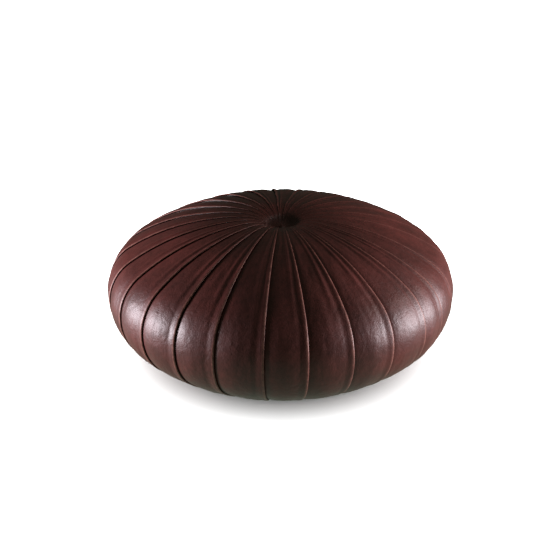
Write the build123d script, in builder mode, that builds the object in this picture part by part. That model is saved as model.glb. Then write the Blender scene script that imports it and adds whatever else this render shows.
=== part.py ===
from build123d import *

from math import cos, radians, sin
import os

# Low round leather pouf, seen as it comes apart on a bench: a cover of lapped leather panels gathered
# into a dimple on top, wadding and foam under it, a plywood frame inside, and glides to stand on.
# Origin: centre of the footprint on the floor. +Z up. Millimetres.

# ---------------------------------------------------------------- driving dimensions
overall_diameter = 1000.0
overall_height = 405.0
panel_count = 26
first_seam_azimuth = 194.9  # lap edge between the last panel and the first
leather_thickness = 2.0
layer_gap = 0.2  # free play between one leather layer and the next
lap_width = 1.6  # degrees of each panel hidden under its neighbour's folded edge
fold_width = 1.2  # degrees of double thickness along each folded edge
wadding_thickness = 12.0
soft_gap = 0.3  # between one soft layer and the next

# Meridian of the cover, a chain of tangent arcs from the dimple out over the top and under the belly.
outer_radius = overall_diameter / 2
crown_radius = 600.0
shoulder_radius = 137.5
shoulder_sweep = 58.0
brow_radius = 166.0  # first easy turn down towards the dimple
brow_sweep = 21.0
crest_radius = 32.0  # tighter roll over the lip of the dimple
dimple_slope = 48.0
pucker_radius = 50.0  # hollow floor of the dimple
flank_radius = 161.0
flank_sweep = 49.4
belly_radius = 525.0
belly_sweep = 11.1
toe_radius = 20.0  # roll of the cover under the base board
flap_inner_radius = 312.0  # inner edge of the leather turned under the board

crown_sweep = 90 - shoulder_sweep
toe_sweep = 90 - flank_sweep - belly_sweep
shoulder_rise = shoulder_radius * sin(radians(shoulder_sweep))
crown_rise = crown_radius * (1 - cos(radians(crown_sweep)))
equator_height = overall_height - shoulder_rise - crown_rise

# Insets of each layer from the outermost surface, which is the folded edges of the panels.
fold_outer = 0.0
fold_inner = leather_thickness
panel_outer = leather_thickness + layer_gap
panel_inner = panel_outer + leather_thickness
wadding_outer = panel_inner + soft_gap
wadding_inner = wadding_outer + wadding_thickness
foam_outer = wadding_inner + soft_gap
disc_outer = wadding_outer
disc_inner = disc_outer + leather_thickness

# Frame
board_radius = 345.0
board_thickness = 18.0
board_vent_radius = 20.0
board_vent_circle = 120.0
vent_count = 6
drum_radius = 285.0
ring_inner_radius = 205.0
ring_thickness = 18.0
post_count = 6
post_side = 45.0
post_length = 200.0
post_circle = 248.0
webbing_width = 60.0
webbing_thickness = 1.5
webbing_pitch = 90.0
webbing_rows = 4
strap_end_margin = 20.0  # from the end of a strap to its staples
hessian_thickness = 0.8
seat_foam_thickness = 60.0

# Small parts
staple_wire = 0.6
staple_wire_width = 1.2
staple_crown = 10.0
staple_leg = 8.0
frame_screw_length = 55.0
frame_screw_radius = 2.5
frame_screw_head_radius = 5.0
frame_screw_head_height = 3.0
frame_screw_spread = 12.0  # of a post's two screws, each side of its middle
glide_screw_length = 24.0
glide_screw_radius = 2.0
glide_screw_head_radius = 4.2
glide_screw_head_height = 2.6
long_staple_leg = 12.0
staple_circle = 322.0
cover_staple_circle = 328.0
staple_spread = 3.4  # degrees each side of a panel's middle
dust_cover_thickness = 0.8
dust_cover_rim_inner = 302.0
dust_cover_rim_outer = 336.0
glide_count = 6
glide_circle = 265.0
glide_radius = 25.0
glide_first_azimuth = 4.0
glide_draft = 3.0  # degrees, narrowing towards the floor
glide_foot_fillet = 3.0
glide_bore_radius = 6.0
glide_sole = 6.0  # thickness that its screw clamps
twine_radius = 1.5
knot_radius = 4.5
washer_radius = 15.0
washer_thickness = 2.0
twine_hole_radius = 2.0
washer_recess_radius = 18.0
washer_recess_depth = 12.0
gather_disc_radius = 44.0


def half_plane(azimuth):
    """Upright half plane through the axis of the pouf, x outward and y up, at an azimuth in degrees."""
    turn = radians(azimuth)
    return Plane(origin=(0, 0, 0), x_dir=(cos(turn), sin(turn), 0), z_dir=(sin(turn), -cos(turn), 0))


def top_line(inset, last_stretch):
    """Meridian from the equator up to the end of the named stretch, at an inset from the outer surface."""
    equator = (outer_radius - inset, equator_height)
    shoulder = JernArc(equator, (0, 1), shoulder_radius - inset, shoulder_sweep)
    crown = JernArc(shoulder @ 1, shoulder % 1, crown_radius - inset, crown_sweep)
    brow = JernArc(crown @ 1, crown % 1, brow_radius - inset, brow_sweep)
    crest = JernArc(brow @ 1, brow % 1, crest_radius - inset, dimple_slope - brow_sweep)
    if last_stretch == "crest":
        return crest @ 1
    pucker = JernArc(crest @ 1, crest % 1, pucker_radius + inset, -dimple_slope)
    return pucker @ 1


def belly_line(inset):
    """Meridian from the equator down to where the cover lies flat under the base board."""
    equator = (outer_radius - inset, equator_height)
    flank = JernArc(equator, (0, -1), flank_radius - inset, -flank_sweep)
    belly = JernArc(flank @ 1, flank % 1, belly_radius - inset, -belly_sweep)
    toe = JernArc(belly @ 1, belly % 1, toe_radius - inset, -toe_sweep)
    return toe @ 1


def leather_section(outer, inner):
    """Closed section of one leather layer, from the dimple to the flap under the board."""
    with BuildLine() as outline:
        outer_tip = top_line(outer, "pucker")
        inner_tip = top_line(inner, "pucker")
        Line(outer_tip, inner_tip)
        outer_toe = belly_line(outer)
        inner_toe = belly_line(inner)
        outer_flap = Line(outer_toe, (flap_inner_radius, outer_toe.Y))
        inner_flap = Line(inner_toe, (flap_inner_radius, inner_toe.Y))
        Line(outer_flap @ 1, inner_flap @ 1)
    make_face(outline.line)


def cushion_section(inset, mode=Mode.ADD):
    """Closed section of everything inside an inset from the outer surface."""
    with BuildLine() as outline:
        tip = top_line(inset, "pucker")
        toe = belly_line(inset)
        Polyline(tip, (0, tip.Y), (0, toe.Y), toe)
    make_face(outline.line, mode=mode)


def block(low_radius, high_radius, low, high, mode):
    """Rectangle of a section between two radii and two heights."""
    with Locations((low_radius, low)):
        Rectangle(high_radius - low_radius, high - low, align=(Align.MIN, Align.MIN), mode=mode)


def save(piece, name):
    piece.label = name
    export_step(piece, "parts/" + name + ".step")


with BuildLine():
    flap_height = belly_line(fold_outer).Y
flap_layer_bottom = flap_height + panel_outer
board_bottom = flap_height + panel_inner + 0.1
board_top = board_bottom + board_thickness
ring_bottom = board_top + post_length
ring_top = ring_bottom + ring_thickness
crosswise_bottom = ring_top + webbing_thickness
webbing_top = crosswise_bottom + webbing_thickness
hessian_bottom = webbing_top + staple_wire + 0.2
seat_foam_bottom = hessian_bottom + hessian_thickness + 0.1
seat_foam_top = seat_foam_bottom + seat_foam_thickness
dust_cover_bottom = board_bottom - 0.1 - dust_cover_thickness
rim_bottom = flap_height - 0.2 - dust_cover_thickness
panel_pitch = 360 / panel_count

os.makedirs("parts", exist_ok=True)


# ---------------------------------------------------------------- fasteners


def staple(height, leg, direction):
    """Wire staple lying tangentially, its crown outside the surface and its legs going up or down."""
    crown_height = height - direction * staple_wire / 2
    leg_height = height + direction * leg / 2
    leg_offset = (staple_crown - staple_wire_width) / 2
    with Locations((0, 0, crown_height)):
        Box(staple_wire_width, staple_crown, staple_wire)
    with Locations((0, -leg_offset, leg_height), (0, leg_offset, leg_height)):
        Box(staple_wire_width, staple_wire_width, leg)


# Two staples hold each panel's flap to the board, either side of the panel's middle.
panel_middle = first_seam_azimuth - lap_width + panel_pitch / 2 - fold_width / 2
with BuildPart() as leather_staples:
    for side in (-staple_spread, staple_spread):
        with PolarLocations(staple_circle, panel_count, start_angle=panel_middle + side):
            staple(flap_layer_bottom, staple_leg, 1)
save(leather_staples.part, "leather_staples")

# One longer staple per panel holds the rim of the dust cover.
with BuildPart() as dust_cover_staples:
    with PolarLocations(cover_staple_circle, panel_count, start_angle=panel_middle):
        staple(rim_bottom, long_staple_leg, 1)
save(dust_cover_staples.part, "dust_cover_staples")


def screw(length, radius, head_radius, head_height):
    """Section of a countersunk wood screw, head at the origin and point along -Y of the sketch."""
    with BuildLine() as outline:
        Polyline(
            (0, 0),
            (head_radius, 0),
            (head_radius, -0.5),
            (radius, -head_height),
            (radius, -length + 2 * radius),
            (0, -length),
            (0, 0),
        )
    make_face(outline.line)


with BuildPart() as frame_screw:
    with BuildSketch(Plane.XZ):
        screw(frame_screw_length, frame_screw_radius, frame_screw_head_radius, frame_screw_head_height)
    revolve(axis=Axis.Z)

# Two screws through the board into the foot of each post, and two through the ring into its head.
with BuildPart() as frame_screws:
    for radius in (post_circle - frame_screw_spread, post_circle + frame_screw_spread):
        with PolarLocations(radius, post_count):
            with Locations((0, 0, ring_top)):
                add(frame_screw.part)
            with Locations(Location((0, 0, board_bottom), (180, 0, 0))):
                add(frame_screw.part)
save(frame_screws.part, "frame_screws")

with BuildPart() as glide_screw:
    with BuildSketch(Plane.XZ):
        screw(glide_screw_length, glide_screw_radius, glide_screw_head_radius, glide_screw_head_height)
    revolve(axis=Axis.Z)

glide_floor = dust_cover_bottom - glide_sole  # inner shoulder that the screw head bears on
with BuildPart() as glide_screws:
    with PolarLocations(glide_circle, glide_count, start_angle=glide_first_azimuth):
        with Locations(Location((0, 0, glide_floor), (180, 0, 0))):
            add(glide_screw.part)
save(glide_screws.part, "glide_screws")


# ---------------------------------------------------------------- frame

with BuildPart() as base_board:
    with BuildSketch(Plane.XY.offset(board_bottom)):
        Circle(board_radius)
        with PolarLocations(board_vent_circle, vent_count):
            Circle(board_vent_radius, mode=Mode.SUBTRACT)
        Circle(twine_radius + 2.5, mode=Mode.SUBTRACT)
    extrude(amount=board_thickness)
    rim_edges = base_board.edges().filter_by(GeomType.CIRCLE).sort_by(SortBy.RADIUS)[-2:]
    fillet(rim_edges, radius=4.0)
    with BuildSketch(Plane.XY.offset(board_bottom)):
        Circle(washer_recess_radius)
    extrude(amount=washer_recess_depth, mode=Mode.SUBTRACT)
    add(frame_screws.part, mode=Mode.SUBTRACT)
    add(glide_screws.part, mode=Mode.SUBTRACT)
    add(leather_staples.part, mode=Mode.SUBTRACT)
    add(dust_cover_staples.part, mode=Mode.SUBTRACT)
save(base_board.part, "base_board")

for number in range(post_count):
    with BuildPart() as post:
        with BuildSketch(Plane.XY.offset(board_top)):
            with PolarLocations(post_circle, 1, start_angle=number * 360 / post_count):
                RectangleRounded(post_side, post_side, 4.0)
        extrude(amount=post_length)
        add(frame_screws.part, mode=Mode.SUBTRACT)
    save(post.part, f"post_{number + 1:02d}")

# Webbing straps end on the ring: each is as long as the chord of the ring at its place.
strap_rows = [(row - (webbing_rows - 1) / 2) * webbing_pitch for row in range(webbing_rows)]
strap_end_radius = drum_radius - 12.0


def strap_length(offset_from_centre):
    reach = abs(offset_from_centre) + webbing_width / 2
    return 2 * (strap_end_radius**2 - reach**2) ** 0.5


with BuildPart() as webbing_staples:
    for offset_from_centre in strap_rows:
        end = strap_length(offset_from_centre) / 2 - strap_end_margin
        for side in (-15.0, 15.0):
            with Locations((end, offset_from_centre + side, 0), (-end, offset_from_centre + side, 0)):
                staple(crosswise_bottom, staple_leg, -1)
            with Locations(
                Location((offset_from_centre + side, end, 0), (0, 0, 90)),
                Location((offset_from_centre + side, -end, 0), (0, 0, 90)),
            ):
                staple(webbing_top, staple_leg + webbing_thickness, -1)
save(webbing_staples.part, "webbing_staples")

with BuildPart() as top_ring:
    with BuildSketch(Plane.XY.offset(ring_bottom)):
        Circle(drum_radius)
        Circle(ring_inner_radius, mode=Mode.SUBTRACT)
    extrude(amount=ring_thickness)
    ring_edges = top_ring.edges().filter_by(GeomType.CIRCLE).sort_by(SortBy.RADIUS)[-2:]
    fillet(ring_edges, radius=4.0)
    add(frame_screws.part, mode=Mode.SUBTRACT)
    add(webbing_staples.part, mode=Mode.SUBTRACT)
save(top_ring.part, "top_ring")

with BuildPart() as webbing_lengthwise:
    for offset_from_centre in strap_rows:
        with BuildSketch(Plane.XY.offset(ring_top)):
            with Locations((0, offset_from_centre)):
                Rectangle(strap_length(offset_from_centre), webbing_width)
        extrude(amount=webbing_thickness)
    add(webbing_staples.part, mode=Mode.SUBTRACT)
save(webbing_lengthwise.part, "webbing_lengthwise")

with BuildPart() as webbing_crosswise:
    for offset_from_centre in strap_rows:
        with BuildSketch(Plane.XY.offset(crosswise_bottom)):
            with Locations((offset_from_centre, 0)):
                Rectangle(webbing_width, strap_length(offset_from_centre))
        extrude(amount=webbing_thickness)
    add(webbing_staples.part, mode=Mode.SUBTRACT)
save(webbing_crosswise.part, "webbing_crosswise")

with BuildPart() as hessian_cloth:
    with BuildSketch(Plane.XY.offset(hessian_bottom)):
        Circle(drum_radius)
        Circle(twine_radius + 0.5, mode=Mode.SUBTRACT)
    extrude(amount=hessian_thickness)
save(hessian_cloth.part, "hessian_cloth")


# ---------------------------------------------------------------- foam and wadding

with BuildPart() as seat_foam:
    with BuildSketch(Plane.XY.offset(seat_foam_bottom)):
        Circle(drum_radius)
        Circle(twine_hole_radius, mode=Mode.SUBTRACT)
    extrude(amount=seat_foam_thickness)
save(seat_foam.part, "seat_foam")

# The crown foam reaches up under the gather disc, inside the hole in the wadding.
with BuildPart() as crown_foam:
    with BuildSketch(Plane.XZ):
        cushion_section(disc_inner + soft_gap)
        block(0, gather_disc_radius, seat_foam_top, overall_height, Mode.INTERSECT)
        cushion_section(foam_outer)
        block(0, outer_radius, 0, seat_foam_top + soft_gap, Mode.SUBTRACT)
        block(0, twine_hole_radius, 0, overall_height, Mode.SUBTRACT)
        block(drum_radius, outer_radius, 0, overall_height, Mode.SUBTRACT)
    revolve(axis=Axis.Z)
save(crown_foam.part, "crown_foam")

with BuildPart() as side_foam_ring:
    with BuildSketch(Plane.XZ):
        cushion_section(foam_outer)
        block(0, drum_radius + soft_gap, 0, overall_height, Mode.SUBTRACT)
        block(0, board_radius + 2 * soft_gap, 0, board_top + soft_gap, Mode.SUBTRACT)
    revolve(axis=Axis.Z)
save(side_foam_ring.part, "side_foam_ring")

with BuildPart() as wadding:
    with BuildSketch(Plane.XZ):
        with BuildLine():
            Line(top_line(wadding_outer, "crest"), top_line(wadding_inner, "crest"))
            Line(belly_line(wadding_outer), belly_line(wadding_inner))
        make_face()
    revolve(axis=Axis.Z)
save(wadding.part, "wadding")


# ---------------------------------------------------------------- tie down of the dimple

# Dished leather disc under the tips of the panels, drawn down by a waxed twine tied off under the board.
with BuildPart() as gather_disc:
    with BuildSketch(Plane.XZ):
        cushion_section(disc_outer)
        cushion_section(disc_inner, Mode.SUBTRACT)
        block(twine_hole_radius, gather_disc_radius, overall_height / 2, overall_height, Mode.INTERSECT)
    revolve(axis=Axis.Z)
save(gather_disc.part, "gather_disc")

knot_seat = (knot_radius**2 - twine_hole_radius**2) ** 0.5 + 0.05
washer_bottom = board_bottom + washer_recess_depth - washer_thickness
upper_knot_height = gather_disc.part.bounding_box().min.Z + leather_thickness + knot_seat
lower_knot_height = washer_bottom - knot_seat

with BuildPart() as tie_down_twine:
    with BuildSketch(Plane.XY.offset(lower_knot_height)):
        Circle(twine_radius)
    extrude(amount=upper_knot_height - lower_knot_height)
    with Locations((0, 0, lower_knot_height), (0, 0, upper_knot_height)):
        Sphere(knot_radius)
save(tie_down_twine.part, "tie_down_twine")

with BuildPart() as tie_down_washer:
    with BuildSketch(Plane.XY.offset(washer_bottom)):
        Circle(washer_radius)
        Circle(twine_hole_radius, mode=Mode.SUBTRACT)
    extrude(amount=washer_thickness)
save(tie_down_washer.part, "tie_down_washer")


# ---------------------------------------------------------------- leather cover

# One panel is a single layer with a folded edge: a double thickness, then a lap over the next panel.
layer_width = panel_pitch - fold_width - 0.1
with BuildPart() as leather_panel:
    with BuildSketch(half_plane(first_seam_azimuth - lap_width)):
        leather_section(panel_outer, panel_inner)
    revolve(axis=Axis.Z, revolution_arc=layer_width)
    with BuildSketch(half_plane(first_seam_azimuth - lap_width + layer_width)):
        leather_section(fold_outer, panel_inner)
    revolve(axis=Axis.Z, revolution_arc=fold_width)
    with BuildSketch(half_plane(first_seam_azimuth - lap_width + layer_width + fold_width)):
        leather_section(fold_outer, fold_inner)
    revolve(axis=Axis.Z, revolution_arc=lap_width)
    add(leather_staples.part, mode=Mode.SUBTRACT)
    add(dust_cover_staples.part, mode=Mode.SUBTRACT)

for number in range(panel_count):
    save(leather_panel.part.rotate(Axis.Z, number * panel_pitch), f"leather_panel_{number + 1:02d}")


# ---------------------------------------------------------------- underside

with BuildPart() as dust_cover:
    with BuildSketch(Plane.XZ):
        with BuildLine():
            Polyline(
                (0, dust_cover_bottom),
                (dust_cover_rim_inner, dust_cover_bottom),
                (dust_cover_rim_inner, rim_bottom),
                (dust_cover_rim_outer, rim_bottom),
                (dust_cover_rim_outer, rim_bottom + dust_cover_thickness),
                (dust_cover_rim_inner + dust_cover_thickness, rim_bottom + dust_cover_thickness),
                (dust_cover_rim_inner + dust_cover_thickness, dust_cover_bottom + dust_cover_thickness),
                (0, dust_cover_bottom + dust_cover_thickness),
                (0, dust_cover_bottom),
            )
        make_face()
    revolve(axis=Axis.Z)
    add(glide_screws.part, mode=Mode.SUBTRACT)
    add(dust_cover_staples.part, mode=Mode.SUBTRACT)
save(dust_cover.part, "dust_cover")

for number in range(glide_count):
    glide_azimuth = glide_first_azimuth + number * 360 / glide_count
    with BuildPart() as glide:
        with BuildSketch(Plane.XY):
            with PolarLocations(glide_circle, 1, start_angle=glide_azimuth):
                Circle(glide_radius)
        extrude(amount=dust_cover_bottom, taper=-glide_draft)
        foot_edge = glide.edges().filter_by(GeomType.CIRCLE).sort_by(Axis.Z)[0]
        fillet(foot_edge, radius=glide_foot_fillet)
        with BuildSketch(Plane.XY):
            with PolarLocations(glide_circle, 1, start_angle=glide_azimuth):
                Circle(glide_bore_radius)
        extrude(amount=glide_floor, mode=Mode.SUBTRACT)
        add(glide_screws.part, mode=Mode.SUBTRACT)
    save(glide.part, f"glide_{number + 1:02d}")
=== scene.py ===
from math import cos, pi, radians, sin

import bpy
import numpy as np
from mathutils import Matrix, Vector, noise


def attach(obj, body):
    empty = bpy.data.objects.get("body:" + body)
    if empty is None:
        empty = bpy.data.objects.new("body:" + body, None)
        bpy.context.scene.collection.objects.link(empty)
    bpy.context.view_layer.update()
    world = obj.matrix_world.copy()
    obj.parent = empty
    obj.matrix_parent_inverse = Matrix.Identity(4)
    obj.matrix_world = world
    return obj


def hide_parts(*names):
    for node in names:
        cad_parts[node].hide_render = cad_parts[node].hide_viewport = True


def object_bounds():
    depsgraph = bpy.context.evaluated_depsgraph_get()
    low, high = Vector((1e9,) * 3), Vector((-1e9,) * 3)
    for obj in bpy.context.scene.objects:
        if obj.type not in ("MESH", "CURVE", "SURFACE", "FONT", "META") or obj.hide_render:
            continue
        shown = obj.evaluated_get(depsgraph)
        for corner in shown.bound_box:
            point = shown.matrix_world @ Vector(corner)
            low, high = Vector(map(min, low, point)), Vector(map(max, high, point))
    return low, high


# The leather pouf's looks. Metres, +Z up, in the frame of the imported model.
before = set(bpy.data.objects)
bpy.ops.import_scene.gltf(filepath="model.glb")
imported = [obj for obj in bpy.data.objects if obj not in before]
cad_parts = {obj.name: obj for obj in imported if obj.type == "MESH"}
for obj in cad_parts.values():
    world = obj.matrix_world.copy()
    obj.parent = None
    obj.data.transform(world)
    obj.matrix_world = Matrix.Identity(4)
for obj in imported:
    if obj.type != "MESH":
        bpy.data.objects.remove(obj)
cad_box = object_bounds()

# ---------------------------------------------------------------- sizes shared with the model
OUTER_RADIUS = cad_box[1][0]
OVERALL_HEIGHT = cad_box[1][2]
PANELS = [f"leather_panel_{number:02d}" for number in range(1, 27)]
PITCH = 2 * pi / len(PANELS)
FIRST_SEAM = radians(194.9)
LEATHER = 0.0020  # thickness
WADDING_INSIDE = 0.0158  # depth of the wadding's inner face below the outside of the cover
FLAP_INSET = 0.0022  # of a panel's single layer, where the cover lies flat under the board
FLAP_RADIUS = 0.312  # where the flap ends under the board
FLAP_ROWS = 4
DIMPLE_SHIFT = 0.001  # of the gathered tips towards +X, from hand pulling
SHIFT_REACH = 0.3  # radius at which that shift has faded out
DIMPLE_REACH = 0.060  # radius of the gathered leather in the dimple, painted paler as light in its shade
DIMPLE_PAINTED_LIGHT = 0.35  # how much paler the painted light makes it in the middle

# Meridian of the cover from the equator upwards and downwards: (radius, turn in degrees) of each arc,
TOP_ARCS = [(0.1375, 58.0), (0.600, 32.0), (0.166, 21.0), (0.032, 27.0), (0.050, -48.0)]
BELLY_ARCS = [(0.161, -49.4), (0.525, -11.1), (0.020, -29.5)]
# the spacing of the mesh rows along each,
TOP_SPACING = (0.005, 0.007, 0.004, 0.0025, 0.003)
BELLY_SPACING = (0.005, 0.006, 0.0012)
# and the tips bunched up over the knot: radius, height over the floor of the dimple, and outward normal.
BUNCH = [(0.0018, 0.0064, (0.2, 0.98)), (0.0046, 0.0050, (0.6, 0.8)), (0.0070, 0.0016, (0.5, 0.86))]

rng = np.random.default_rng(7)


# ---------------------------------------------------------------- meridian


def arc_chain(start, heading, arcs, spacing):
    """Points and headings along tangent arcs, at about the spacing given for each arc."""
    points, headings = [np.array(start)], [heading]
    for (radius, turn), step in zip(arcs, spacing):
        turn = radians(turn)
        side = 1 if turn > 0 else -1
        centre = points[-1] + side * radius * np.array([-sin(heading), cos(heading)])
        count = max(4, round(abs(turn) * radius / step))
        for angle in np.linspace(0, turn, count + 1)[1:]:
            now = heading + angle
            points.append(centre + side * radius * np.array([sin(now), -cos(now)]))
            headings.append(now)
        heading += turn
    return np.array(points), np.array(headings)


def meridian():
    """Rows from the gathered centre to the flap: radius and height, outward normal, and arc length."""
    shoulder, shoulder_turn = TOP_ARCS[0]
    crown, crown_turn = TOP_ARCS[1]
    equator_height = OVERALL_HEIGHT - shoulder * sin(radians(shoulder_turn))
    equator_height -= crown * (1 - cos(radians(crown_turn)))
    equator = (OUTER_RADIUS, equator_height)
    up, up_heading = arc_chain(equator, pi / 2, TOP_ARCS, TOP_SPACING)
    down, down_heading = arc_chain(equator, -pi / 2, BELLY_ARCS, BELLY_SPACING)
    top_normal = np.stack([np.sin(up_heading), -np.cos(up_heading)], 1)
    low_normal = np.stack([-np.sin(down_heading), np.cos(down_heading)], 1)
    floor = up[-1][1]
    bunch = np.array([[radius, floor + lift] for radius, lift, _ in BUNCH])
    bunch_normal = np.array([normal for _, _, normal in BUNCH])
    toe_radius, flap_height = down[-1]
    flap_radii = np.linspace(toe_radius, FLAP_RADIUS, FLAP_ROWS + 1)[1:]
    flap = np.array([[radius, flap_height] for radius in flap_radii])
    flap_normal = np.tile([0.0, -1.0], (len(flap), 1))
    points = np.concatenate([bunch, up[::-1], down[1:], flap])
    normals = np.concatenate([bunch_normal, top_normal[::-1], low_normal[1:], flap_normal])
    steps = np.hypot(*np.diff(points, axis=0).T)
    return points, normals, np.concatenate([[0], np.cumsum(steps)])


rows, row_normals, row_length = meridian()
equator_row = int(np.argmax(rows[:, 0]))
toe_row = len(rows) - 1 - FLAP_ROWS
equator_length = row_length[equator_row]
total_length = row_length[-1]

# How full a panel is along its length: little near the dimple, most at the shoulder, flat under the belly.
row_fullness = np.interp(
    row_length,
    equator_length + np.array([-0.45, -0.26, -0.13, -0.03, 0.05, 0.20, 0.36]),
    [0.0, 0.2, 0.8, 1.0, 0.9, 0.8, -1.0],
)
# How much more the ones at the back are puffed up on the crown.
row_puff = np.interp(
    row_length,
    [0.10, equator_length - 0.30, equator_length - 0.12, equator_length],
    [0.0, 1.6, 1.2, 0.0],
)
# How far a panel's lap stands up, most on the crown.
row_lap = np.interp(row_length, [equator_length - 0.26, equator_length - 0.08], [1.7, 1.0])
# How far its mean surface lies inside the envelope that the fullest panels touch.
row_inset = np.interp(row_length, [equator_length, equator_length + 0.14], [0.0040, 0.0022])
# How far its laps are pressed flat, over the roll of the toe and on the flap.
toe_length = row_length[toe_row]
row_flat = np.interp(row_length, [toe_length - 0.016, toe_length - 0.002], [0.0, 1.0])


# ---------------------------------------------------------------- leather panels


def smooth_curve(places, values, at):
    """Cubic curve through the given places, without overshoot between them."""
    places, values = np.asarray(places, float), np.asarray(values, float)
    slopes = np.diff(values) / np.diff(places)
    tangents = np.zeros_like(values)
    same = slopes[1:] * slopes[:-1] > 0
    tangents[1:-1] = np.where(same, 2 * slopes[1:] * slopes[:-1] / (slopes[1:] + slopes[:-1] + 1e-12), 0)
    spot = np.clip(np.searchsorted(places, at) - 1, 0, len(slopes) - 1)
    span = np.diff(places)[spot]
    t = np.clip((at - places[spot]) / span, 0, 1)
    low, high = values[spot], values[spot + 1]
    return (
        (1 + 2 * t) * (1 - t) ** 2 * low
        + t * (1 - t) ** 2 * span * tangents[spot]
        + t * t * (3 - 2 * t) * high
        + t * t * (t - 1) * span * tangents[spot + 1]
    )


UNDERLAP = 0.014  # of each panel hidden under the lap of the one before it
FOLD_BACK = 0.016  # of the folded edge turned under
FOLD_GAP = 0.004  # from the end of that to the inner face of the single layer
NOSE = 0.0024  # half the thickness of the folded edge
RELIEF_FADE = 0.6  # power of the radius that a panel's relief follows as it narrows

# Width of a panel below which each of these fades, towards its tip,
INSET_WIDTH = 0.06
RELIEF_WIDTH = 0.05
THICKNESS_WIDTH = 0.02
# the share of its width where the rise from under the lap ends and the swell begins,
RISE_SHARE = 0.14
# where a flat panel steps up on its neighbour, before its edge, and over what distance,
FLAT_STEP_START = 0.024
FLAT_STEP_LENGTH = 0.006
# and the wear round its folded edge, partly a painted highlight on the roll, from two points before the roll
# of the fold onwards.
EDGE_WEAR_AND_HIGHLIGHT = (0.4, 0.8, 1.0, 1.0, 1.0, 0.9, 0.6, 0.3)
PUFFED_LAP = 0.6  # how much of the extra puff at the back also lifts the laps

# Height of a full-width panel's surface, at distances from the edge of the lap before it,
RISE = [
    (-UNDERLAP, -0.0050),
    (-0.006, -0.0047),
    (0.0, -0.0039),
    (0.003, -0.0030),
    (0.008, -0.0016),
    (0.015, -0.0004),
]
# across its middle, as shares of its width,
SWELL = [(0.22, 0.0010), (0.34, 0.0022), (0.46, 0.0026), (0.58, 0.0022)]
# and at distances from its own folded edge, over the line of hidden stitches to the roll of the fold.
LAP = [
    (-0.036, 0.0015),
    (-0.029, 0.0009),
    (-0.022, 0.0003),
    (-0.016, 0.0008),
    (-0.010, 0.0016),
    (-0.004, 0.0019),
]


def section(width, row, own_fullness, away):
    """Closed outline of a panel across its width: distance from its left edge, height, and fold wear with a
    painted highlight.

    away is 0 at the front and sides, and 1 at the very back, where the panels are puffed up more.
    """
    fullness, flat = row_fullness[row] * own_fullness + away * row_puff[row], row_flat[row]
    lap = row_lap[row] + PUFFED_LAP * away * row_puff[row]
    scale = rows[row][0] / OUTER_RADIUS
    places = [x * scale for x, _ in RISE]
    places += [width * x for x, _ in SWELL] + [width + x * scale for x, _ in LAP]
    heights = [h for _, h in RISE] + [h * fullness for _, h in SWELL] + [h * lap for _, h in LAP]
    heights = np.array(heights) * scale**RELIEF_FADE
    lap_start = width + LAP[0][0] * scale
    lap_end = width + LAP[-1][0] * scale
    lead = np.linspace(places[0], width * RISE_SHARE, 13)
    middle = np.linspace(width * RISE_SHARE, lap_start, 16)[1:]
    edge = np.linspace(lap_start, lap_end, 15)[1:]
    top_x = np.concatenate([lead, middle, edge])
    top_h = smooth_curve(places, heights, top_x)
    thick = LEATHER * min(1.0, width / THICKNESS_WIDTH)
    nose = NOSE * scale
    turn = np.linspace(pi / 2, -pi / 2, 9)[1:]
    nose_x = lap_end + (-LAP[-1][0] * scale) * np.cos(turn)
    nose_h = top_h[-1] - nose + nose * np.sin(turn)
    back_x = np.linspace(lap_end, width - FOLD_BACK * scale, 5)[1:]
    back_h = smooth_curve(places, heights, back_x) - 2 * nose
    inner_x = np.linspace(width - (FOLD_BACK + FOLD_GAP) * scale, places[0], 12)
    inner_h = smooth_curve(places, heights, inner_x) - thick
    x = np.concatenate([top_x, nose_x, back_x, inner_x])
    h = np.concatenate([top_h, nose_h, back_h, inner_h]) - row_inset[row] * min(1.0, width / INSET_WIDTH)
    # Pressed flat, the fold lies on the single layer of the next panel.
    step_up = np.clip((top_x - (width - FLAT_STEP_START)) / FLAT_STEP_LENGTH, 0, 1)
    flat_top = -FLAP_INSET * (1 - step_up * step_up * (3 - 2 * step_up))
    flat_nose = -LEATHER / 2 + LEATHER / 2 * np.sin(turn)
    flat_back = np.full(len(back_x), -LEATHER)
    flat_inner = np.full(len(inner_x), -FLAP_INSET - LEATHER)
    pressed = np.concatenate([flat_top, flat_nose, flat_back, flat_inner])
    # Paler round the folded edge: real wear, and partly a painted highlight along the roll of the fold.
    wear_and_light = np.zeros(len(x))
    first_wear_and_highlight = len(top_x) - 2
    wear_and_light[first_wear_and_highlight : first_wear_and_highlight + len(EDGE_WEAR_AND_HIGHLIGHT)] = EDGE_WEAR_AND_HIGHLIGHT
    return x, h * (1 - flat) + pressed * flat, wear_and_light


# Small wander of each lap edge, and the lean of those that were cut or pulled a little off their place.
seam_wobble = [
    (rng.normal(0, 0.003), rng.normal(0, 0.003), rng.uniform(0, 2 * pi), rng.uniform(2.5, 5.0))
    for _ in PANELS
]
WANDER_RADIUS = 0.15  # inside which the wander and the lean fade towards the dimple
SEAM_LEAN = {5: 0.020, 9: 0.018, 10: -0.030, 11: -0.048}
BACK_SEAMS = range(12, 26)
BACK_LEAN = radians(-4.0)  # of the seams on the far side of the crown
BACK_LEAN_LENGTH = 0.16  # over which it grows, up from the equator


def seam_azimuth(number, row):
    """Where the lap edge before a panel lies, at a row of the meridian."""
    number %= len(PANELS)
    shift, sway, phase, waves = seam_wobble[number]
    radius = rows[row][0]
    fade = min(1.0, radius / WANDER_RADIUS)
    azimuth = FIRST_SEAM + number * PITCH
    lean = SEAM_LEAN.get(number, 0.0)
    if row < equator_row and number in BACK_SEAMS:
        part = sin(pi * (number - BACK_SEAMS.start + 1) / (len(BACK_SEAMS) + 1)) ** 2
        lean += BACK_LEAN * part * min(1.0, (equator_length - row_length[row]) / BACK_LEAN_LENGTH)
    return azimuth + fade * (shift + lean + sway * sin(phase + waves * row_length[row] / total_length))


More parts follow.
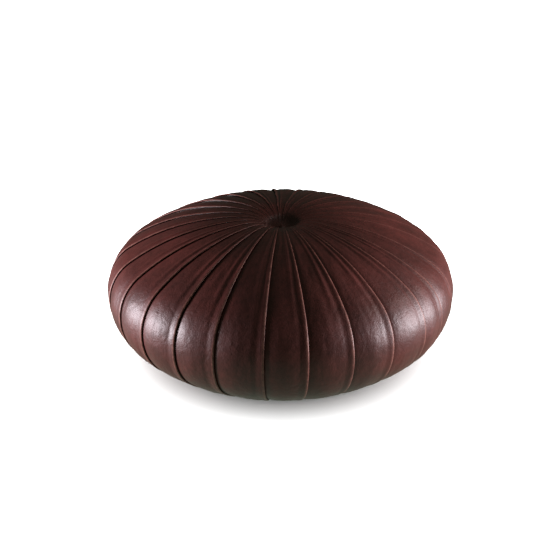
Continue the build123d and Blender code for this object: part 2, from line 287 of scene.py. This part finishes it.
def panel_edges(number, row):
    """Azimuths of the lap edges before and after a panel."""
    right = seam_azimuth(number + 1, row) + (2 * pi if number == len(PANELS) - 1 else 0)
    return seam_azimuth(number, row), right


def dimple_shift(row):
    """How far a row is pulled towards +X with the gathered tips."""
    return DIMPLE_SHIFT * max(0.0, 1 - rows[row][0] / SHIFT_REACH) if row < equator_row else 0.0


def add_piece(name, vertices, faces):
    """A new smooth object of the given vertices and faces."""
    mesh = bpy.data.meshes.new(name)
    mesh.from_pydata(vertices, [], faces)
    mesh.update()
    mesh.shade_smooth()
    piece = bpy.data.objects.new(name, mesh)
    bpy.context.collection.objects.link(piece)
    return piece


def soft_relief(place, across, along, number):
    """Unevenness and creases of stretched leather over soft wadding, in metres."""
    swell = noise.noise(place * 7.0 + Vector((number * 17.3, number * 5.1, 0))) * 0.0010
    ripple = noise.noise(Vector((across * 3.2, along * 16.0, number * 3.7))) * 0.0006
    slant = across * 0.12 + along
    pull = noise.noise(Vector((across * 8.0, slant * 11.0, number * 1.9)))
    crease = -(1 - min(1.0, abs(noise.noise(Vector((across * 4.0, slant * 22.0, number * 2.3)))) / 0.12)) ** 2
    return swell + ripple + 0.0007 * pull * abs(pull) + 0.0005 * crease


def leather_panel(number, name):
    """One panel as a closed solid: its section at each row, from the dimple to the flap."""
    vertices, wear_and_light_values = [], []
    own_fullness = 1 + rng.uniform(-0.12, 0.12)
    for row, ((radius, height), (level, rise)) in enumerate(zip(rows.tolist(), row_normals.tolist())):
        left, right = panel_edges(number, row)
        width = (right - left) * radius
        x, h, wear_and_light = section(width, row, own_fullness, max(0.0, sin((left + right) / 2)))
        fade = min(1.0, width / RELIEF_WIDTH) * (1 - row_flat[row])
        shift = Vector((dimple_shift(row), 0, 0))
        for across, lift in zip(x.tolist(), h.tolist()):
            azimuth = left + across / radius
            share = across / width
            outward = Vector((cos(azimuth), sin(azimuth), 0))
            base = outward * radius + Vector((0, 0, height))
            if 0.02 < share < 1.0 and fade > 0:
                window = min(1.0, sin(pi * share) * 2.2)
                lift += float(soft_relief(base, share, row_length[row], number) * window * fade)
            vertices.append(base + shift + (outward * level + Vector((0, 0, rise))) * lift)
        # Pale mark per vertex: fold-edge wear with a painted highlight, and painted light in the shaded
        # dimple.
        wear_and_light_values.extend(np.maximum(wear_and_light, DIMPLE_PAINTED_LIGHT * max(0.0, 1 - radius / DIMPLE_REACH)).tolist())
    around = len(x)
    faces = []
    for row in range(len(rows) - 1):
        for index in range(around):
            after = (index + 1) % around
            start, end = row * around, (row + 1) * around
            faces.append((start + index, end + index, end + after, start + after))
    faces.append(tuple(range(around)))
    faces.append(tuple((len(rows) - 1) * around + index for index in reversed(range(around))))
    piece = add_piece(name + "_skin", vertices, faces)
    piece.data.attributes.new("wear_and_light", "FLOAT", "POINT").data.foreach_set("value", wear_and_light_values)
    return piece


# ---------------------------------------------------------------- wadding

WADDING_HOLE = 0.046  # radius of the hole in the wadding round the dimple
WADDING_STEPS = 12  # of its mesh across each panel
# Room left below the leather: under a lap, a fixed part and one that follows the relief,
LAP_ROOM = (0.0008, 0.0052)
# and between the laps, with the swell of the panel that the wadding fills.
MIDDLE_ROOM = 0.0018
MIDDLE_SWELL = 0.0022
MIDDLE_SHARES = [0.04, 0.16, 0.80, 0.86]  # of a panel's width, over which it comes up and goes down again
WADDING_FLAT_DEPTH = 0.0048  # where the laps are pressed flat


def wadding_depth(row, share):
    """Depth of the wadding's outer face below the outside of the cover, at a share of a panel's width."""
    radius = rows[row][0]
    scale = (radius / OUTER_RADIUS) ** RELIEF_FADE
    sunk = row_inset[row] * min(1.0, PITCH * radius / INSET_WIDTH)
    middle = float(np.interp(share, MIDDLE_SHARES, [0.0, 1.0, 1.0, 0.0]))
    under_lap = sunk + LEATHER + LAP_ROOM[0] + LAP_ROOM[1] * scale
    swell = MIDDLE_SWELL * scale * sin(pi * share) * row_fullness[row]
    under_middle = sunk + LEATHER + MIDDLE_ROOM - swell
    depth = under_lap * (1 - middle) + under_middle * middle
    return depth * (1 - row_flat[row]) + WADDING_FLAT_DEPTH * row_flat[row]


def wadding_piece():
    """The wadding under the leather: swollen between the seams and pressed thin beneath them."""
    steps = WADDING_STEPS * len(PANELS)
    crest_end = int(np.argmin(np.abs(rows[:equator_row, 0] - WADDING_HOLE)))
    chosen = range(crest_end, toe_row + 1)
    vertices = []
    for side in (0, 1):
        for row in chosen:
            radius, height = rows[row]
            level, rise = row_normals[row]
            shift = dimple_shift(row)
            for step in range(steps):
                number, part = divmod(step, WADDING_STEPS)
                left, right = panel_edges(number, row)
                azimuth = left + (right - left) * part / WADDING_STEPS
                depth = wadding_depth(row, part / WADDING_STEPS) if side == 0 else WADDING_INSIDE
                reach = radius - depth * level
                vertices.append((reach * cos(azimuth) + shift, reach * sin(azimuth), height - depth * rise))
    count = len(chosen)
    inside = count * steps
    faces = []
    for row in range(count - 1):
        for step in range(steps):
            a, b = row * steps + step, row * steps + (step + 1) % steps
            faces.append((a, a + steps, b + steps, b))
            faces.append((a + inside, b + inside, b + inside + steps, a + inside + steps))
    for step in range(steps):
        after = (step + 1) % steps
        faces.append((step, after, after + inside, step + inside))
        a, b = (count - 1) * steps + step, (count - 1) * steps + after
        faces.append((a, a + inside, b + inside, b))
    return add_piece("wadding_fleece", vertices, faces)


# ---------------------------------------------------------------- materials


class Finish:
    """A procedural material under construction, with short ways to add its usual nodes."""

    def __init__(self, name):
        self.material = bpy.data.materials.new(name)
        self.material.use_nodes = True
        self.nodes, self.links = self.material.node_tree.nodes, self.material.node_tree.links
        self.shader = self.nodes["Principled BSDF"]
        self.normal = None

    def set(self, **values):
        for name, value in values.items():
            self.shader.inputs[name.replace("_", " ")].default_value = value

    def mapped(self, scale=(1, 1, 1), turn=(0, 0, 0)):
        place = self.nodes.new("ShaderNodeTexCoord")
        mapping = self.nodes.new("ShaderNodeMapping")
        mapping.inputs["Scale"].default_value = scale
        mapping.inputs["Rotation"].default_value = turn
        self.links.new(place.outputs["Object"], mapping.inputs["Vector"])
        return mapping.outputs["Vector"]

    def texture(self, kind, scale, at=None, **values):
        node = self.nodes.new("ShaderNodeTex" + kind)
        node.inputs["Scale"].default_value = scale
        for name, value in values.items():
            node.inputs[name.replace("_", " ")].default_value = value
        self.links.new(at or self.mapped(), node.inputs["Vector"])
        return node.outputs["Distance" if kind == "Voronoi" else "Fac"]

    def ramp(self, source, low, high, low_value, high_value):
        node = self.nodes.new("ShaderNodeValToRGB")
        for element, place, value in zip(node.color_ramp.elements, (low, high), (low_value, high_value)):
            element.position = place
            element.color = (*value, 1) if isinstance(value, tuple) else (value, value, value, 1)
        self.links.new(source, node.inputs["Fac"])
        return node.outputs["Color"]

    def mix(self, first, second, factor=1.0, blend="MULTIPLY"):
        node = self.nodes.new("ShaderNodeMix")
        node.data_type = "RGBA"
        node.blend_type = blend
        if isinstance(factor, float):
            node.inputs["Factor"].default_value = factor
        else:
            self.links.new(factor, node.inputs["Factor"])
        for socket, value in (("A", first), ("B", second)):
            if isinstance(value, tuple):
                node.inputs[socket].default_value = (*value, 1)
            else:
                self.links.new(value, node.inputs[socket])
        return node.outputs["Result"]

    def colour(self, source):
        self.links.new(source, self.shader.inputs["Base Color"])

    def roughness(self, source):
        self.links.new(source, self.shader.inputs["Roughness"])

    def bump(self, source, height, strength=1.0):
        node = self.nodes.new("ShaderNodeBump")
        node.inputs["Strength"].default_value = strength
        node.inputs["Distance"].default_value = height
        self.links.new(source, node.inputs["Height"])
        if self.normal:
            self.links.new(self.normal, node.inputs["Normal"])
        self.normal = node.outputs["Normal"]
        self.links.new(self.normal, self.shader.inputs["Normal"])


LEATHER_DARK = (0.053, 0.0125, 0.0100)
LEATHER_LIGHT = (0.104, 0.0210, 0.0165)
# Pale colour for worn fold edges, partly a painted highlight, and for painted light in the shaded dimple.
LEATHER_PALE_WEAR_AND_LIGHT = (0.38, 0.165, 0.13)


def leather_finish():
    """Burgundy pull-up leather: clouded colour, pebble grain, creases, folds rubbed paler with a painted
    highlight, and painted light in the dimple.
    """
    f = Finish("burgundy_leather")
    cloud = f.texture("Noise", 7.0, Detail=5.0, Roughness=0.6)
    fleck = f.texture("Noise", 70.0, Detail=6.0)
    base = f.ramp(cloud, 0.32, 0.70, LEATHER_DARK, LEATHER_LIGHT)
    base = f.mix(base, f.ramp(fleck, 0.3, 0.7, 0.66, 1.0), 0.7)
    # Paler where marked: fold-edge wear with a painted highlight, and painted light in the dimple's shade.
    wear_and_light = f.nodes.new("ShaderNodeAttribute")
    wear_and_light.attribute_name = "wear_and_light"
    rub_and_light = f.mix(wear_and_light.outputs["Fac"], f.ramp(f.texture("Noise", 90.0, Detail=4.0), 0.3, 0.65, 0.10, 0.48))
    f.colour(f.mix(base, LEATHER_PALE_WEAR_AND_LIGHT, rub_and_light, "MIX"))
    f.roughness(f.ramp(cloud, 0.3, 0.75, 0.42, 0.52))
    f.shader.inputs["Specular IOR Level"].default_value = 0.38
    f.bump(f.texture("Voronoi", 520.0), 0.0005, 0.25)
    f.bump(f.texture("Noise", 1600.0, Detail=3.0), 0.0002, 0.25)
    f.bump(f.texture("Noise", 38.0, Detail=8.0, Roughness=0.62, Distortion=0.8), 0.0030, 0.42)
    f.bump(f.texture("Noise", 120.0, f.mapped((1, 1, 0.45)), Detail=5.0, Distortion=1.5), 0.0010, 0.45)
    return f.material


def wood_finish(name, pale, dark, along):
    """Timber with long grain along one axis and short darker flecks."""
    f = Finish(name)
    stretch = [14.0, 14.0, 14.0]
    stretch[along] = 1.2
    grain = f.texture("Noise", 6.0, f.mapped(stretch), Detail=8.0, Distortion=0.6)
    fleck = f.texture("Noise", 40.0, f.mapped([s / 2 for s in stretch]), Detail=2.0)
    f.colour(f.mix(f.ramp(grain, 0.3, 0.7, dark, pale), f.ramp(fleck, 0.55, 0.72, 1.0, 0.7)))
    f.roughness(f.ramp(grain, 0.3, 0.7, 0.55, 0.72))
    f.bump(grain, 0.0006, 0.4)
    return f.material


def woven_finish(name, pale, dark, threads, irregular):
    """Plain weave of two crossing sets of threads, so many to the metre, with slubs."""
    f = Finish(name)
    sets = []
    for turn in (0, pi / 2):
        wave = f.nodes.new("ShaderNodeTexWave")
        wave.inputs["Scale"].default_value = threads / 20
        wave.inputs["Distortion"].default_value = irregular
        wave.inputs["Detail Scale"].default_value = 3.0
        f.links.new(f.mapped((pi, pi, pi), (0, 0, turn)), wave.inputs["Vector"])
        sets.append(wave.outputs["Fac"])
    weave = f.mix(sets[0], sets[1], 0.5, "DIFFERENCE")
    slub = f.texture("Noise", 90.0, Detail=5.0)
    f.colour(f.mix(f.ramp(weave, 0.1, 0.9, dark, pale), f.ramp(slub, 0.3, 0.7, 0.65, 1.0)))
    f.set(Roughness=0.88)
    f.bump(weave, 0.0006, 0.7)
    f.bump(slub, 0.0003, 0.4)
    return f.material


def fibre_finish(name, pale, dark, scale, relief, roughness):
    """Fibrous or cellular stuff: clouded colour and a fine irregular surface."""
    f = Finish(name)
    cloud = f.texture("Noise", scale / 8, Detail=5.0)
    cell = f.texture("Voronoi", scale)
    f.colour(f.mix(f.ramp(cloud, 0.3, 0.7, dark, pale), f.ramp(cell, 0.05, 0.6, 0.6, 1.0), 0.6))
    f.roughness(f.ramp(cloud, 0.3, 0.7, roughness - 0.08, roughness))
    f.bump(cell, relief, 0.6)
    f.bump(f.texture("Noise", scale * 2.5, Detail=4.0), relief / 2, 0.5)
    return f.material


def metal_finish(name, pale, dark, roughness):
    """Drawn or plated steel, lightly mottled and scratched."""
    f = Finish(name)
    mottle = f.texture("Noise", 220.0, Detail=5.0)
    scratch = f.texture("Noise", 60.0, f.mapped((30, 30, 2)), Detail=3.0)
    f.colour(f.ramp(mottle, 0.3, 0.7, dark, pale))
    f.roughness(f.ramp(scratch, 0.3, 0.7, roughness, roughness + 0.18))
    f.set(Metallic=1.0)
    f.bump(scratch, 0.0001, 0.4)
    return f.material


def plastic_finish(name, pale, dark):
    """Moulded plastic: spark-eroded texture, faint flow clouding and scuffs from the floor."""
    f = Finish(name)
    cloud = f.texture("Noise", 30.0, Detail=4.0)
    scuff = f.texture("Noise", 45.0, f.mapped((8, 1, 1), (0, 0, 0.6)), Detail=6.0)
    f.colour(f.mix(f.ramp(cloud, 0.3, 0.7, dark, pale), f.ramp(scuff, 0.6, 0.72, 1.0, 1.6)))
    f.roughness(f.ramp(scuff, 0.45, 0.7, 0.42, 0.65))
    f.bump(f.texture("Noise", 1400.0, Detail=3.0), 0.0002, 0.5)
    f.bump(scuff, 0.0001, 0.3)
    return f.material


leather = leather_finish()
fleece = fibre_finish("wadding_fleece", (0.80, 0.79, 0.76), (0.62, 0.60, 0.57), 420.0, 0.0012, 0.98)
seat_foam = fibre_finish("seat_foam", (0.70, 0.60, 0.36), (0.58, 0.47, 0.26), 700.0, 0.0008, 0.95)
soft_foam = fibre_finish("soft_foam", (0.74, 0.72, 0.66), (0.62, 0.60, 0.55), 800.0, 0.0007, 0.95)
dust_cloth = fibre_finish(
    "dust_cover_cloth", (0.022, 0.022, 0.024), (0.010, 0.010, 0.011), 560.0, 0.0004, 0.85
)
hessian = woven_finish("hessian", (0.46, 0.33, 0.18), (0.20, 0.13, 0.06), 500, 2.5)
webbing = woven_finish("webbing", (0.55, 0.45, 0.30), (0.24, 0.17, 0.10), 700, 0.8)
twine = woven_finish("waxed_twine", (0.50, 0.41, 0.26), (0.22, 0.16, 0.09), 2200, 1.2)
beech = wood_finish("beech", (0.56, 0.36, 0.20), (0.40, 0.23, 0.12), 2)
plywood = wood_finish("plywood", (0.60, 0.43, 0.25), (0.42, 0.27, 0.14), 0)
staple_steel = metal_finish("staple_steel", (0.62, 0.62, 0.60), (0.40, 0.40, 0.39), 0.28)
screw_steel = metal_finish("screw_steel", (0.68, 0.63, 0.50), (0.46, 0.42, 0.33), 0.30)
nylon = plastic_finish("glide_nylon", (0.030, 0.026, 0.024), (0.014, 0.012, 0.012))

NODE_FINISHES = {
    "gather_disc": leather,
    "tie_down_twine": twine,
    "tie_down_washer": screw_steel,
    "crown_foam": soft_foam,
    "seat_foam": seat_foam,
    "side_foam_ring": soft_foam,
    "hessian_cloth": hessian,
    "webbing_lengthwise": webbing,
    "webbing_crosswise": webbing,
    "top_ring": plywood,
    "base_board": plywood,
    "post": beech,
    "frame_screws": screw_steel,
    "glide_screws": screw_steel,
    "webbing_staples": staple_steel,
    "leather_staples": staple_steel,
    "dust_cover_staples": staple_steel,
    "dust_cover": dust_cloth,
    "glide": nylon,
}
for name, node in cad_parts.items():
    stem = name.rstrip("0123456789").rstrip("_")
    if stem in NODE_FINISHES:
        node.data.materials.clear()
        node.data.materials.append(NODE_FINISHES[stem])


# ---------------------------------------------------------------- the cover

# Each panel built in leather, in place of the model's panel.
for number, name in enumerate(PANELS):
    panel = leather_panel(number, name)
    panel.data.materials.append(leather)
    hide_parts(name)
    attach(panel, "root")

wadding = wadding_piece()
wadding.data.materials.append(fleece)
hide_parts("wadding")
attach(wadding, "root")


# ---------------------------------------------------------------- floor, light and camera


def pale_floor():
    """A wide floor that neither lights the leather nor shows in its gloss."""
    reach = 15.0
    corners = [(-reach, -reach, 0), (reach, -reach, 0), (reach, reach, 0), (-reach, reach, 0)]
    mesh = bpy.data.meshes.new("floor")
    mesh.from_pydata(corners, [], [(0, 1, 2, 3)])
    ground = bpy.data.objects.new("floor", mesh)
    bpy.context.collection.objects.link(ground)
    f = Finish("pale_floor")
    f.set(Base_Color=(0.86, 0.86, 0.86, 1), Roughness=0.9)
    f.shader.inputs["Specular IOR Level"].default_value = 0.0
    mesh.materials.append(f.material)
    ground.visible_glossy = False
    ground.visible_diffuse = False
    return ground


def softbox(name, place, aim, width, height, power, colour):
    """A rectangular light aimed at a point; power in watts."""
    light = bpy.data.lights.new(name, "AREA")
    light.shape = "RECTANGLE"
    light.size = width
    light.size_y = height
    light.energy = power
    light.color = colour
    box = bpy.data.objects.new(name, light)
    box.location = place
    box.rotation_euler = (Vector(aim) - Vector(place)).to_track_quat("-Z", "Y").to_euler()
    bpy.context.collection.objects.link(box)
    return box


# A low light on each side, and a small one higher up on the right.
ground = pale_floor()
aim_point = (0.0, 0.0, 0.2)
left_box = softbox("left_box", (-2.2, -0.28, 0.30), aim_point, 0.80, 0.60, 100.0, (1.0, 0.92, 0.99))
right_box = softbox("right_box", (2.2, -0.38, 0.42), aim_point, 0.75, 0.80, 92.0, (1.0, 0.92, 0.97))
top_box = softbox("top_box", (1.9, 0.15, 1.45), aim_point, 0.5, 0.5, 9.5, (1.0, 0.95, 0.90))

# The floor alone gets an even light and no other, so that it stays pale under the dark leather.
floor_only = bpy.data.collections.new("floor_only")
floor_only.objects.link(ground)
all_but_floor = bpy.data.collections.new("all_but_floor")
all_but_floor.objects.link(ground)
all_but_floor.collection_objects[0].light_linking.link_state = "EXCLUDE"
for box in (left_box, right_box, top_box):
    box.light_linking.receiver_collection = all_but_floor
FLOOR_LIGHT_STRENGTH = 10.5
FLOOR_LIGHT_SPREAD = radians(150)
sky = bpy.data.lights.new("floor_light", "SUN")
sky.energy = FLOOR_LIGHT_STRENGTH
sky.angle = FLOOR_LIGHT_SPREAD
sky_lamp = bpy.data.objects.new("floor_light", sky)
sky_lamp.location = (0, 0, 4)
bpy.context.collection.objects.link(sky_lamp)
sky_lamp.light_linking.receiver_collection = floor_only

# The background is bright where the lower side of the leather looks down at it, and dark above.
WORLD_HEIGHTS = (-0.55, -0.05)  # Z of the direction, between which it darkens
WORLD_STRENGTHS = (0.42, 0.075)  # below the first of those, and above the second
WORLD_COLOUR = (0.80, 1.0, 0.78, 1)
world = bpy.data.worlds.new("studio")
world.use_nodes = True
world_nodes, world_links = world.node_tree.nodes, world.node_tree.links
direction = world_nodes.new("ShaderNodeTexCoord")
split = world_nodes.new("ShaderNodeSeparateXYZ")
strength = world_nodes.new("ShaderNodeMapRange")
strength.inputs["From Min"].default_value, strength.inputs["From Max"].default_value = WORLD_HEIGHTS
strength.inputs["To Min"].default_value, strength.inputs["To Max"].default_value = WORLD_STRENGTHS
world_links.new(direction.outputs["Generated"], split.inputs["Vector"])
world_links.new(split.outputs["Z"], strength.inputs["Value"])
world_links.new(strength.outputs["Result"], world_nodes["Background"].inputs["Strength"])
world_nodes["Background"].inputs["Color"].default_value = WORLD_COLOUR
bpy.context.scene.world = world
bpy.context.scene.view_settings.view_transform = "Standard"

# The camera looks down from the front at a point near the pouf's middle.
CAMERA_DISTANCE = 2.974
CAMERA_TILT = radians(25.1)
CAMERA_LENS = 66.9  # mm, for a sensor 36 mm wide
LOOK_AT = Vector((-0.016, 0.0, 0.220))
CAMERA_OFFSET = Vector((0, -CAMERA_DISTANCE * cos(CAMERA_TILT), CAMERA_DISTANCE * sin(CAMERA_TILT)))
camera_data = bpy.data.cameras.new("camera")
camera_data.sensor_width = 36.0
camera_data.lens = CAMERA_LENS
camera = bpy.data.objects.new("camera", camera_data)
camera.location = LOOK_AT + CAMERA_OFFSET
camera.rotation_euler = (pi / 2 - CAMERA_TILT, 0, 0)
bpy.context.collection.objects.link(camera)
bpy.context.scene.camera = camera
